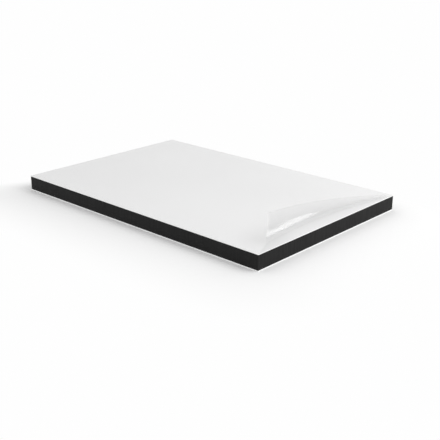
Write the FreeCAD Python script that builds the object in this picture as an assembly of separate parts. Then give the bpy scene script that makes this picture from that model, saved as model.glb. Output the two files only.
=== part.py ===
# Foamed PVC sheet with a black foam core, white skins and a peeled protective film.
# Millimetres, +Z up. The origin is the middle of the underside.
# The long side runs along X and the short side along Y.
# The film's loose strip is at the short edge on the +X side.
import FreeCAD
import Part
import math
import os

# Sheet
length = 300.0
width = 200.0
core_thickness = 13.4
skin_thickness = 0.8
film_thickness = 0.2

# Slit in the film, from the front corner inwards
slit_end_from_corner = 22.7
slit_end_from_edge = 10.3

# Line along which the loose strip leaves the face
strip_end_from_corner = 8.5
strip_end_from_edge = 0.8
bare_band_swell = 7.9

# Curl of the loose strip at its wide end
bend_radius = 4.0
bend_turn = 118.0
lean_radius = 49.4
lean_turn = 25.0
wide_end_heading = -48.0
narrow_end_heading = -3.0
taper_power = 0.855
narrow_end_share = 0.07
sections = 10

# Two points nearer than this are one point
same_place = 1e-4

overall_thickness = core_thickness + 2 * skin_thickness
half_length = length / 2
half_width = width / 2
strip_start_y = -half_width + slit_end_from_corner
strip_end_y = half_width - strip_end_from_corner


def slab(bottom, thickness):
    corner = FreeCAD.Vector(-half_length, -half_width, bottom)
    return Part.makeBox(length, width, thickness, corner)


def hinge_point(share):
    """Point of the line where the strip leaves the face, from the wide end (0) to the narrow end (1)."""
    straight = slit_end_from_edge + share * (strip_end_from_edge - slit_end_from_edge)
    from_edge = straight + bare_band_swell * 4 * share * (1 - share)
    along = strip_start_y + share * (strip_end_y - strip_start_y)
    return FreeCAD.Vector(half_length - from_edge, along, overall_thickness)


def curl_points(scale, inset):
    """Ends and middles of the two arcs, as outward and upward distances from the hinge."""
    small = bend_radius * scale - inset
    large = lean_radius * scale - inset
    centre_up = bend_radius * scale
    turns = [0, bend_turn / 2, bend_turn]
    first = [(small * math.sin(math.radians(a)), centre_up - small * math.cos(math.radians(a))) for a in turns]
    joint = math.radians(bend_turn)
    centre_out = (small - large) * math.sin(joint)
    centre_up = centre_up - (small - large) * math.cos(joint)
    turns = [bend_turn, bend_turn + lean_turn / 2, bend_turn + lean_turn]
    second = [
        (centre_out + large * math.sin(math.radians(a)), centre_up - large * math.cos(math.radians(a)))
        for a in turns
    ]
    return first, second


def strip_section(share):
    """Closed outline across the loose strip."""
    foot = hinge_point(share)
    heading = math.radians(wide_end_heading + share * (narrow_end_heading - wide_end_heading))
    scale = narrow_end_share + (1 - narrow_end_share) * (1 - share) ** taper_power

    def place(point):
        out, up = point
        return foot + FreeCAD.Vector(out * math.cos(heading), out * math.sin(heading), up)

    under_bend, under_lean = curl_points(scale, 0)
    upper_bend, upper_lean = curl_points(scale, film_thickness)
    edges = [
        Part.Arc(*[place(p) for p in under_bend]).toShape(),
        Part.Arc(*[place(p) for p in under_lean]).toShape(),
        Part.makeLine(place(under_lean[-1]), place(upper_lean[-1])),
        Part.Arc(*[place(p) for p in reversed(upper_lean)]).toShape(),
        Part.Arc(*[place(p) for p in reversed(upper_bend)]).toShape(),
        Part.makeLine(place(upper_bend[0]), place(under_bend[0])),
    ]
    return Part.Wire(edges)


def film_sheet():
    """Film on the face, with the loose strip that stands up beside the bare band."""
    shares = [i / (sections - 1) for i in range(sections)]
    strip = Part.makeLoft([strip_section(s) for s in shares], True, False)
    start = hinge_point(0)
    end = hinge_point(1)

    def runs_along_hinge(edge):
        ends = [v.Point for v in edge.Vertexes]
        if len(ends) < 2:
            return False
        return all(min(p.distanceToPoint(q) for p in ends) < same_place for q in (start, end))

    hinge = [e for e in strip.Edges if runs_along_hinge(e)][0]
    near_front = FreeCAD.Vector(half_length, -half_width, overall_thickness)
    far_front = FreeCAD.Vector(-half_length, -half_width, overall_thickness)
    far_back = FreeCAD.Vector(-half_length, half_width, overall_thickness)
    near_back = FreeCAD.Vector(half_length, half_width, overall_thickness)
    strip_tip = FreeCAD.Vector(half_length, end.y, overall_thickness)
    corners = [start, near_front, far_front, far_back, near_back, strip_tip, end]
    edges = [Part.makeLine(a, b) for a, b in zip(corners[:-1], corners[1:])]
    outline = Part.Wire(Part.__sortEdges__(edges + [hinge]))
    flat = Part.Face(outline).extrude(FreeCAD.Vector(0, 0, film_thickness))
    return flat.fuse(strip).removeSplitter()


foam_core = slab(skin_thickness, core_thickness)
bottom_skin = slab(0, skin_thickness)
top_skin = slab(skin_thickness + core_thickness, skin_thickness)
protective_film = film_sheet()

os.makedirs("parts", exist_ok=True)
foam_core.exportStep("parts/foam_core.step")
bottom_skin.exportStep("parts/bottom_skin.step")
top_skin.exportStep("parts/top_skin.step")
protective_film.exportStep("parts/protective_film.step")

for name, shape in (
    ("foam_core", foam_core),
    ("bottom_skin", bottom_skin),
    ("top_skin", top_skin),
    ("protective_film", protective_film),
):
    box = shape.BoundBox
    print(name, shape.isValid(), len(shape.Solids), round(shape.Volume, 2))
    print("  ", [round(v, 2) for v in (box.XMin, box.XMax, box.YMin, box.YMax, box.ZMin, box.ZMax)])
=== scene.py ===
# Looks of a foamed PVC sheet: black foam core, white skins, clear film with a loose curled strip.
# Metres and degrees, +Z up. The origin is the middle of the underside.
import math

import bmesh
import bpy
from mathutils import Matrix, Vector


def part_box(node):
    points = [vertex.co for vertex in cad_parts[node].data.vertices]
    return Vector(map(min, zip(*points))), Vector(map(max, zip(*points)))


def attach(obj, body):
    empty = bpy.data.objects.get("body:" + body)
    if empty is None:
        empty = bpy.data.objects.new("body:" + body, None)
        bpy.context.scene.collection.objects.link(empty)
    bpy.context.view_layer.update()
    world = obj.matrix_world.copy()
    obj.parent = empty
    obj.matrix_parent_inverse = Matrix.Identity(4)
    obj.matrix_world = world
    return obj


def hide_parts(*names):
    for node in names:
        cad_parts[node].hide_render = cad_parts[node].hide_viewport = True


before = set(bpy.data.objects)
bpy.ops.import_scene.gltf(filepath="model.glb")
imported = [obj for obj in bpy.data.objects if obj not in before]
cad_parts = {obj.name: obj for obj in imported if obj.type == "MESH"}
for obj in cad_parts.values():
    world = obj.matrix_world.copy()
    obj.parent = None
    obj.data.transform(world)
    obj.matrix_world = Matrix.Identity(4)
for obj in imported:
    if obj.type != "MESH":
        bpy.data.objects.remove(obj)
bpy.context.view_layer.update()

mm = 0.001

# Sheet
sheet_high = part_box("foam_core")[1]
half_length = sheet_high.x
half_width = sheet_high.y
face_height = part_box("top_skin")[1].z

# Film on the face, lifted a hair so that it doesn't coincide with the skin
film_gauge = 0.1 * mm
film_lift = 0.03 * mm
film_height = face_height + film_lift
smoothing_angle = 40.0

# Slit in the film, from the front corner inwards
slit_end_from_corner = 22.7 * mm
slit_end_from_edge = 10.3 * mm

# Hinge, along which the loose strip leaves the face
strip_end_from_corner = 8.5 * mm
strip_end_from_edge = 0.8 * mm
bare_band_swell = 7.9 * mm
strip_start_y = -half_width + slit_end_from_corner
strip_end_y = half_width - strip_end_from_corner

# Curl of the loose strip at its wide end, and how it turns and shrinks towards its narrow end
bend_radius = 4.0 * mm
bend_turn = 118.0
lean_radius = 49.4 * mm
lean_turn = 25.0
wide_end_heading = -48.0
narrow_end_heading = -3.0
taper_power = 0.855
narrow_end_share = 0.07

# Divisions of the strip, along the hinge and up the curl
columns = 96
bend_rows = 14
lean_rows = 20
all_rows = bend_rows + lean_rows

# Torn end of the strip, its bulge as a share of the hinge
edge_bulge = 0.008
edge_bulge_rows = 22
edge_bulge_fading = 6
# Painted highlight along the torn edge: its columns, and the rows below it and over which it rises
edge_highlight_columns = 2
rows_below_edge_highlight = 19
edge_highlight_rows = 4

# Painted shade of the loose strip, given to each vertex and carried by the film's grey tone and its cover
unshaded_rows = 13
unshaded_rows_gained = 3
shade_rise_rows = 2
bend_shade = 0.05
lean_start_shade = 1.3
top_edge_shade = 0.6
narrow_end_shade_drop = 0.12


# Handling of pieces
def deselect_all():
    bpy.ops.object.select_all(action="DESELECT")


def pick(piece):
    """Make the piece the active one and the only one selected."""
    deselect_all()
    bpy.context.view_layer.objects.active = piece
    piece.select_set(True)


def start_editing(piece):
    """Open the piece in edit mode with nothing selected."""
    pick(piece)
    bpy.ops.object.mode_set(mode="EDIT")
    bpy.ops.mesh.select_all(action="DESELECT")
    return bmesh.from_edit_mesh(piece.data)


def stop_editing():
    bpy.ops.object.mode_set(mode="OBJECT")


def settle(piece):
    """Put the piece's place and scale into its mesh."""
    pick(piece)
    bpy.ops.object.transform_apply(location=True, rotation=True, scale=True)


def apply_modifiers(piece):
    pick(piece)
    for modifier in list(piece.modifiers):
        bpy.ops.object.modifier_apply(modifier=modifier.name)


# Shape of the loose strip
def clamped(value):
    return min(1, max(0, value))


def hinge_point(share):
    """Where the strip leaves the face, from its wide end (0) to its narrow end (1)."""
    straight = slit_end_from_edge + share * (strip_end_from_edge - slit_end_from_edge)
    from_edge = straight + bare_band_swell * 4 * share * (1 - share)
    along = strip_start_y + share * (strip_end_y - strip_start_y)
    return Vector((half_length - from_edge, along, film_height))


def strip_scale(share):
    """Size of the curl, from 1 at the wide end to narrow_end_share at the narrow end."""
    return narrow_end_share + (1 - narrow_end_share) * (1 - share) ** taper_power


def curl_offset(row):
    """Outward and upward distance from the hinge after so many rows, at full size."""
    turn = math.radians(bend_turn * min(row, bend_rows) / bend_rows)
    out = bend_radius * math.sin(turn)
    up = bend_radius * (1 - math.cos(turn))
    if row > bend_rows:
        lean = turn + math.radians(lean_turn * (row - bend_rows) / lean_rows)
        out += lean_radius * (math.sin(lean) - math.sin(turn))
        up += lean_radius * (math.cos(turn) - math.cos(lean))
    return out, up


def torn_edge_shift(row):
    """Share of the hinge by which the torn edge bulges past the slit low down and falls back above."""
    if row < edge_bulge_rows:
        return -edge_bulge * math.sin(math.pi * row / edge_bulge_rows)
    rows_left = all_rows - edge_bulge_rows
    fall_back = edge_bulge * rows_left / edge_bulge_rows
    return fall_back * math.sin(math.pi * (row - edge_bulge_rows) / rows_left)


def strip_point(share, row):
    """Point of the loose strip, the torn edge's shift fading out away from the wide end."""
    share += (1 - share) ** edge_bulge_fading * torn_edge_shift(row)
    heading = math.radians(wide_end_heading + share * (narrow_end_heading - wide_end_heading))
    out, up = curl_offset(row)
    scale = strip_scale(share)
    step = Vector((out * math.cos(heading), out * math.sin(heading), up))
    return hinge_point(share) + step * scale


def strip_lift_and_shade(share, row):
    """Painted shade of the strip, carried by the film's tone and cover: little in the bend, most where the
    lean starts, less at the top.
    """
    unshaded_up_to = unshaded_rows + unshaded_rows_gained * share
    shade_rise = clamped((row - unshaded_up_to) / shade_rise_rows)
    leaned = max(0, row - bend_rows) / lean_rows
    lean_shade = lean_start_shade + leaned * (top_edge_shade - lean_start_shade)
    return bend_shade + shade_rise * (lean_shade * (1 - narrow_end_shade_drop * share) - bend_shade)


def torn_edge_highlight_share(column, row):
    """Share of painted highlight on the torn edge: its outer columns, above the gleam."""
    if column >= edge_highlight_columns:
        return 0.0
    return clamped((row - rows_below_edge_highlight) / edge_highlight_rows)


# Film
edge_tolerance = 1 * mm


def lay_film():
    """Film cut to the sheet, still flat and whole."""
    deselect_all()
    bpy.ops.mesh.primitive_plane_add(size=1, location=(0, 0, film_height))
    film = bpy.context.object
    film.name = "peeled_film"
    film.scale = (2 * half_length, 2 * half_width, 1)
    settle(film)
    return film


def at_short_edge(vert):
    return vert.co.x > half_length - edge_tolerance


def tear_in(film):
    """Cut the short edge into columns and draw it in to the hinge, which is left selected."""
    mesh = start_editing(film)
    # lift_and_shade is 0 on the laid film and holds the loose strip's painted shade; torn_edge_highlight
    # holds the torn edge's painted highlight
    for name in ("lift_and_shade", "torn_edge_highlight"):
        mesh.verts.layers.float.new(name)
    bpy.ops.mesh.select_mode(type="EDGE")
    for edge in mesh.edges:
        if all(at_short_edge(v) for v in edge.verts):
            edge.select = True
    hinge_count = columns + 1
    bpy.ops.mesh.subdivide(number_cuts=hinge_count + 1)

    mesh = bmesh.from_edit_mesh(film.data)
    rim = sorted((v for v in mesh.verts if at_short_edge(v)), key=lambda v: v.co.y)
    *hinge, strip_tip = rim[1:-1]
    for i, vert in enumerate(hinge):
        vert.co = hinge_point(i / columns)
    strip_tip.co = Vector((half_length, strip_end_y, film_height))
    on_hinge = set(hinge)
    bpy.ops.mesh.select_all(action="DESELECT")
    for edge in mesh.edges:
        if all(v in on_hinge for v in edge.verts):
            edge.select = True
    bmesh.update_edit_mesh(film.data)


def draw_up_strip(film):
    """Draw the selected hinge up into the curl, row by row."""
    for row in range(1, all_rows + 1):
        bpy.ops.mesh.extrude_edges_move()
        mesh = bmesh.from_edit_mesh(film.data)
        lift_and_shade = mesh.verts.layers.float["lift_and_shade"]
        torn_edge_highlight = mesh.verts.layers.float["torn_edge_highlight"]
        new_row = sorted((v for v in mesh.verts if v.select), key=lambda v: v.co.y)
        for column, vert in enumerate(new_row):
            share = column / columns
            vert.co = strip_point(share, row)
            # Painted shade of the strip at this vertex
            vert[lift_and_shade] = strip_lift_and_shade(share, row)
            # Painted highlight of the torn edge at this vertex
            vert[torn_edge_highlight] = torn_edge_highlight_share(column, row)
        bmesh.update_edit_mesh(film.data)


def make_film():
    """Film cut to the sheet, its short edge torn in to the hinge and drawn up into the curl."""
    film = lay_film()
    tear_in(film)
    draw_up_strip(film)
    bpy.ops.mesh.select_all(action="SELECT")
    bpy.ops.mesh.normals_make_consistent(inside=False)
    stop_editing()

    gauge = film.modifiers.new("gauge", "SOLIDIFY")
    gauge.thickness = film_gauge
    gauge.offset = 1.0
    apply_modifiers(film)
    bpy.ops.object.shade_smooth_by_angle(angle=math.radians(smoothing_angle))
    return film


# Materials
# Most of a noise's values lie between these two
noise_low = 0.3
noise_high = 0.7


def new_material(name):
    """New material with its node tree and its surface shader."""
    material = bpy.data.materials.new(name)
    material.use_nodes = True
    tree = material.node_tree
    return material, tree, tree.nodes["Principled BSDF"]


def object_coordinates(tree, scale=(1, 1, 1)):
    place = tree.nodes.new("ShaderNodeTexCoord")
    mapping = tree.nodes.new("ShaderNodeMapping")
    mapping.inputs["Scale"].default_value = scale
    tree.links.new(place.outputs["Object"], mapping.inputs["Vector"])
    return mapping.outputs["Vector"]


def flat_axes(tree, place):
    """The X and the Y of a place."""
    axes = tree.nodes.new("ShaderNodeSeparateXYZ")
    tree.links.new(place, axes.inputs["Vector"])
    return axes.outputs["X"], axes.outputs["Y"]


def attribute(tree, name):
    node = tree.nodes.new("ShaderNodeAttribute")
    node.attribute_name = name
    return node.outputs["Fac"]


def noise(tree, place, scale, detail):
    node = tree.nodes.new("ShaderNodeTexNoise")
    node.inputs["Scale"].default_value = scale
    node.inputs["Detail"].default_value = detail
    tree.links.new(place, node.inputs["Vector"])
    return node.outputs["Fac"]


def span(tree, value, low, high, out_low=0, out_high=1, course="LINEAR"):
    """The value, with low to high made out_low to out_high and held at its ends."""
    node = tree.nodes.new("ShaderNodeMapRange")
    node.interpolation_type = course
    for name, number in (("From Min", low), ("From Max", high), ("To Min", out_low), ("To Max", out_high)):
        node.inputs[name].default_value = number
    tree.links.new(value, node.inputs["Value"])
    return node.outputs["Result"]


def varied(tree, pattern, low, high):
    """The usual values of a noise, made to run from low to high."""
    return span(tree, pattern, noise_low, noise_high, low, high)


def calculate(tree, operation, first, second=0, held=False):
    """One Math node; each term is a number or another node's output, and held keeps it within 0 to 1."""
    node = tree.nodes.new("ShaderNodeMath")
    node.operation = operation
    node.use_clamp = held
    for place, term in enumerate((first, second)):
        if isinstance(term, (int, float)):
            node.inputs[place].default_value = term
        else:
            tree.links.new(term, node.inputs[place])
    return node.outputs["Value"]


def grey(tree, value):
    node = tree.nodes.new("ShaderNodeCombineColor")
    for channel in ("Red", "Green", "Blue"):
        tree.links.new(value, node.inputs[channel])
    return node.outputs["Color"]


def bump(tree, height, distance, strength, under=None):
    node = tree.nodes.new("ShaderNodeBump")
    node.inputs["Distance"].default_value = distance
    node.inputs["Strength"].default_value = strength
    tree.links.new(height, node.inputs["Height"])
    if under:
        tree.links.new(under, node.inputs["Normal"])
    return node.outputs["Normal"]


# White skins, with painted shade beside the loose strip and at the slit's end, and painted light on the sawn
# edges
bare_band_shade_strength = 0.115
bare_band_rim_shade = 0.3
least_band = 0.1 * mm
slit_shade_strength = 0.045
slit_shade_reach = 42 * mm
cut_edge_depth = 0.05 * mm
cut_edge_painted_light = 0.11


def bare_band_shade_share(tree, place):
    """Share of painted shade on the bare band: 0 under the film, and from 1 at the hinge, where the curl
    stands over it, down to bare_band_rim_shade at the band's edge.
    """
    x, y = flat_axes(tree, place)
    share = span(tree, y, strip_start_y, strip_end_y)
    straight = span(tree, y, strip_start_y, strip_end_y, slit_end_from_edge, strip_end_from_edge)
    bow = calculate(tree, "MULTIPLY", share, calculate(tree, "SUBTRACT", 1, share))
    swell = calculate(tree, "MULTIPLY", bow, 4 * bare_band_swell)
    hinge = calculate(tree, "ADD", straight, swell)
    slit_at_far_end = 2 * half_width * slit_end_from_edge / slit_end_from_corner
    slit = span(tree, y, -half_width, half_width, 0, slit_at_far_end)
    band = calculate(tree, "MINIMUM", hinge, slit)
    from_edge = calculate(tree, "SUBTRACT", half_length, x)
    bare = calculate(tree, "LESS_THAN", from_edge, band)
    depth = calculate(tree, "DIVIDE", from_edge, calculate(tree, "MAXIMUM", band, least_band))
    fading = span(tree, depth, 0, 1, bare_band_rim_shade, 1)
    return calculate(tree, "MULTIPLY", bare, fading)


def slit_shade_share(tree, place):
    """Share of painted shade below the strip's wide end: 1 at the end of the slit, fading to 0 around it."""
    distance = tree.nodes.new("ShaderNodeVectorMath")
    distance.operation = "DISTANCE"
    tree.links.new(place, distance.inputs[0])
    distance.inputs[1].default_value = hinge_point(0)
    return span(tree, distance.outputs["Value"], slit_shade_reach, 0, course="SMOOTHSTEP")


def cut_edge(tree, place):
    """1 on the four sawn edges and 0 on the faces."""
    sides = []
    for along, half in zip(flat_axes(tree, place), (half_length, half_width)):
        off = calculate(tree, "ABSOLUTE", along)
        sides.append(calculate(tree, "GREATER_THAN", off, half - cut_edge_depth))
    return calculate(tree, "MAXIMUM", *sides)


def satin_white_skin(name, bared_with_painted_shade):
    """Satin white, with painted light on the sawn edges and, where bared, painted shade beside the loose
    strip and at the slit's end.
    """
    material, tree, surface = new_material(name)
    place = object_coordinates(tree)
    clouding = noise(tree, place, scale=9, detail=3)
    dull_patches = noise(tree, place, scale=60, detail=5)
    speck = noise(tree, place, scale=1400, detail=2)
    tone = varied(tree, clouding, low=0.845, high=0.865)
    if bared_with_painted_shade:
        # Painted shade on the bare band beside the strip and around the slit's end, taken off the tone
        bared = calculate(tree, "MULTIPLY", bare_band_shade_share(tree, place), bare_band_shade_strength)
        # Painted shade around the slit's end, below the strip's wide end
        slit_shade = calculate(tree, "MULTIPLY", slit_shade_share(tree, place), slit_shade_strength)
        painted_shade = calculate(tree, "ADD", bared, slit_shade)
        tone = calculate(tree, "SUBTRACT", tone, painted_shade)
    # Painted light on the sawn edges, lifting the skins' sides towards the face's tone
    painted_edge_light = calculate(tree, "MULTIPLY", cut_edge(tree, place), cut_edge_painted_light)
    tone = calculate(tree, "ADD", tone, painted_edge_light)
    tree.links.new(grey(tree, tone), surface.inputs["Base Color"])
    tree.links.new(varied(tree, dull_patches, low=0.52, high=0.62), surface.inputs["Roughness"])
    tree.links.new(bump(tree, speck, distance=0.02 * mm, strength=0.35), surface.inputs["Normal"])
    surface.inputs["Specular IOR Level"].default_value = 0.4
    return material


# Foam core, its saw marks drawn upright by a small scale along Z
saw_mark_z_scale = 0.04
widest_cell = 0.9
cell_tone_low = 0.75
cell_tone_high = 1.35


def sawn_black_foam():
    """Matt black with fine cells and upright saw marks."""
    material, tree, surface = new_material("sawn black foam")
    place = object_coordinates(tree)
    saw_place = object_coordinates(tree, scale=(1, 1, saw_mark_z_scale))
    cells = tree.nodes.new("ShaderNodeTexVoronoi")
    cells.inputs["Scale"].default_value = 2200
    tree.links.new(place, cells.inputs["Vector"])
    cell = cells.outputs["Distance"]
    saw_marks = noise(tree, saw_place, scale=900, detail=3)
    patches = noise(tree, place, scale=45, detail=4)
    tone = varied(tree, patches, low=0.0060, high=0.0080)
    wall = span(tree, cell, 0, widest_cell, cell_tone_low, cell_tone_high)
    shade = calculate(tree, "MULTIPLY", tone, wall)
    sawn = bump(tree, saw_marks, distance=0.05 * mm, strength=0.5)
    celled = bump(tree, cell, distance=0.06 * mm, strength=0.6, under=sawn)
    tree.links.new(grey(tree, shade), surface.inputs["Base Color"])
    tree.links.new(varied(tree, saw_marks, low=0.62, high=0.8), surface.inputs["Roughness"])
    tree.links.new(celled, surface.inputs["Normal"])
    surface.inputs["Specular IOR Level"].default_value = 0.2
    surface.inputs["Sheen Weight"].default_value = 0.14
    surface.inputs["Sheen Roughness"].default_value = 0.35
    return material


# Clear film; its grey tone and its cover are set by the lift_and_shade attribute and carry the painted shade
# of the loose strip
laid_tone = 0.85
shaded_film_tone = 0.48
shaded_tone_from = 0.5
laid_cover = 0.02
shaded_cover = 0.20
shaded_cover_from = 1.5
laid_roughness = 0.45
# Painted highlight along the torn edge, in tone and cover
torn_edge_painted_highlight = 0.37
torn_edge_highlight_cover = 0.07


def clear_film():
    """Nearly unseen and satin where it lies on the skin; glossy where it stands loose, with painted shade in
    its grey tone and its cover.
    """
    material, tree, surface = new_material("clear film")
    place = object_coordinates(tree)
    # loose reads lift_and_shade: 0 on the laid film, and the painted shade on the loose strip
    loose = attribute(tree, "lift_and_shade")
    torn = attribute(tree, "torn_edge_highlight")
    ripple = noise(tree, place, scale=35, detail=1)
    haze = noise(tree, place, scale=120, detail=3)
    # The loose strip's grey tone and its cover carry its painted shade
    tone = span(tree, loose, 0, shaded_tone_from, laid_tone, shaded_film_tone)
    # torn reads the torn edge's painted highlight, which whitens the tone and adds cover
    painted_edge_light = calculate(tree, "MULTIPLY", torn, torn_edge_painted_highlight)
    shade = calculate(tree, "ADD", tone, painted_edge_light, held=True)
    gloss = varied(tree, haze, low=0.06, high=0.09)
    laid = span(tree, loose, 0, bend_shade, laid_roughness, 0)
    painted_cover = span(tree, loose, 0, shaded_cover_from, laid_cover, shaded_cover)
    edge = calculate(tree, "MULTIPLY", torn, torn_edge_highlight_cover)
    tree.links.new(grey(tree, shade), surface.inputs["Base Color"])
    tree.links.new(calculate(tree, "ADD", gloss, laid), surface.inputs["Roughness"])
    tree.links.new(calculate(tree, "ADD", painted_cover, edge, held=True), surface.inputs["Alpha"])
    tree.links.new(bump(tree, ripple, distance=0.1 * mm, strength=0.06), surface.inputs["Normal"])
    surface.inputs["IOR"].default_value = 1.8
    surface.inputs["Specular IOR Level"].default_value = 1.0
    return material


# Floor and backdrop
front_shadow_reach = 90 * mm
back_shadow_reach = 32 * mm
reach_change = 30 * mm
full_shadow_share = 0.1
backdrop_white = 0.992


def seen_directly(tree):
    """1 for the camera's own rays and for those that gloss or clear film sends on."""
    rays = tree.nodes.new("ShaderNodeLightPath")
    seen = calculate(tree, "MAXIMUM", rays.outputs["Is Camera Ray"], rays.outputs["Is Glossy Ray"])
    return calculate(tree, "MAXIMUM", seen, rays.outputs["Is Transmission Ray"])


def clear_of_sheet(tree, place):
    """0 at the sheet's foot, rising to 1 where the floor has left the sheet's shadow behind."""
    x, y = flat_axes(tree, place)
    squares = []
    for along, half in ((x, half_length), (y, half_width)):
        off = calculate(tree, "ABSOLUTE", along)
        past = calculate(tree, "MAXIMUM", calculate(tree, "SUBTRACT", off, half), 0)
        squares.append(calculate(tree, "POWER", past, 2))
    distance = calculate(tree, "SQRT", calculate(tree, "ADD", *squares))
    diagonal = calculate(tree, "MULTIPLY", x, half_width / half_length)
    behind = calculate(tree, "SUBTRACT", y, diagonal)
    reach = span(tree, behind, -reach_change, reach_change, front_shadow_reach, back_shadow_reach)
    way = calculate(tree, "DIVIDE", distance, reach)
    return span(tree, way, full_shadow_share, 1, course="SMOOTHSTEP")


def pale_floor():
    """Pale floor that shows its shadow near the part and a plain white backdrop farther out."""
    material, tree, surface = new_material("pale floor")
    place = object_coordinates(tree)
    tone = varied(tree, noise(tree, place, scale=3, detail=2), low=0.955, high=0.965)
    tree.links.new(grey(tree, tone), surface.inputs["Base Color"])
    surface.inputs["Roughness"].default_value = 0.9
    surface.inputs["Specular IOR Level"].default_value = 0.1
    white = tree.nodes.new("ShaderNodeEmission")
    white.inputs["Color"].default_value = (1, 1, 1, 1)
    white.inputs["Strength"].default_value = backdrop_white
    mix = tree.nodes.new("ShaderNodeMixShader")
    share = calculate(tree, "MULTIPLY", clear_of_sheet(tree, place), seen_directly(tree))
    tree.links.new(share, mix.inputs["Fac"])
    tree.links.new(surface.outputs["BSDF"], mix.inputs[1])
    tree.links.new(white.outputs["Emission"], mix.inputs[2])
    tree.links.new(mix.outputs["Shader"], tree.nodes["Material Output"].inputs["Surface"])
    return material


# Dress the part
film = make_film()
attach(film, "root")
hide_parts("protective_film")
film.data.materials.append(clear_film())

finishes = {
    "top_skin": satin_white_skin("satin white skin, partly bared", True),
    "bottom_skin": satin_white_skin("satin white skin", False),
    "foam_core": sawn_black_foam(),
}
for node, material in finishes.items():
    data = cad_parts[node].data
    data.materials.clear()
    data.materials.append(material)

# Floor
floor_side = 14.0
deselect_all()
bpy.ops.mesh.primitive_plane_add(size=floor_side, location=(0, 0, 0))
floor = bpy.context.object
floor.name = "floor"
floor.data.materials.append(pale_floor())
settle(floor)

# Camera
camera_place = Vector((518.49, -551.64, 258.48)) * mm
camera_heading = 42.187
camera_looks_down = 20.296
camera_roll = 0.456
camera_data = bpy.data.cameras.new("camera")
camera_data.sensor_width = 36.0
camera_data.lens = 66.17
camera_data.clip_start = 0.01
camera_data.clip_end = 50.0
camera = bpy.data.objects.new("camera", camera_data)
bpy.context.scene.collection.objects.link(camera)
bpy.context.scene.camera = camera
camera.matrix_world = (
    Matrix.Translation(camera_place)
    @ Matrix.Rotation(math.radians(camera_heading), 4, "Z")
    @ Matrix.Rotation(math.radians(90 - camera_looks_down), 4, "X")
    @ Matrix.Rotation(math.radians(camera_roll), 4, "Z")
)

# World
sky_strength = 0.77
world = bpy.data.worlds.new("studio")
bpy.context.scene.world = world
world.use_nodes = True
world_tree = world.node_tree
sky = world_tree.nodes["Background"]
sky.inputs["Color"].default_value = (1, 1, 1, 1)
brightness = span(world_tree, seen_directly(world_tree), 0, 1, sky_strength, backdrop_white)
world_tree.links.new(brightness, sky.inputs["Strength"])


# Lamps
def soft_lamp(name, shape, azimuth, elevation, distance, wide, tall, roll, power):
    """Soft lamp that faces the part from the given side and isn't seen by the camera."""
    lamp_data = bpy.data.lights.new(name, "AREA")
    lamp_data.shape = shape
    lamp_data.size = wide
    lamp_data.size_y = tall
    lamp_data.energy = power
    lamp = bpy.data.objects.new(name, lamp_data)
    lamp.visible_camera = False
    bpy.context.scene.collection.objects.link(lamp)
    across = math.cos(math.radians(elevation)) * distance
    place = Vector((
        across * math.cos(math.radians(azimuth)),
        across * math.sin(math.radians(azimuth)),
        math.sin(math.radians(elevation)) * distance,
    ))
    facing = (-place).to_track_quat("-Z", "Y").to_matrix().to_4x4()
    lamp.matrix_world = Matrix.Translation(place) @ facing @ Matrix.Rotation(math.radians(roll), 4, "Z")


soft_lamp(
    "main_lamp", "RECTANGLE", azimuth=20, elevation=45, distance=0.9,
    wide=0.5, tall=0.5, roll=0, power=2.3,
)
# The bend of the film mirrors the next two lamps as its gleam
soft_lamp(
    "strip_lamp", "ELLIPSE", azimuth=41.15, elevation=11.6, distance=0.5,
    wide=0.0235, tall=0.113, roll=-5.0, power=0.0322,
)
soft_lamp(
    "low_lamp", "RECTANGLE", azimuth=42.1, elevation=3.55, distance=0.5,
    wide=0.026, tall=0.059, roll=10, power=0.0215,
)

bpy.context.scene.view_settings.view_transform = "Standard"
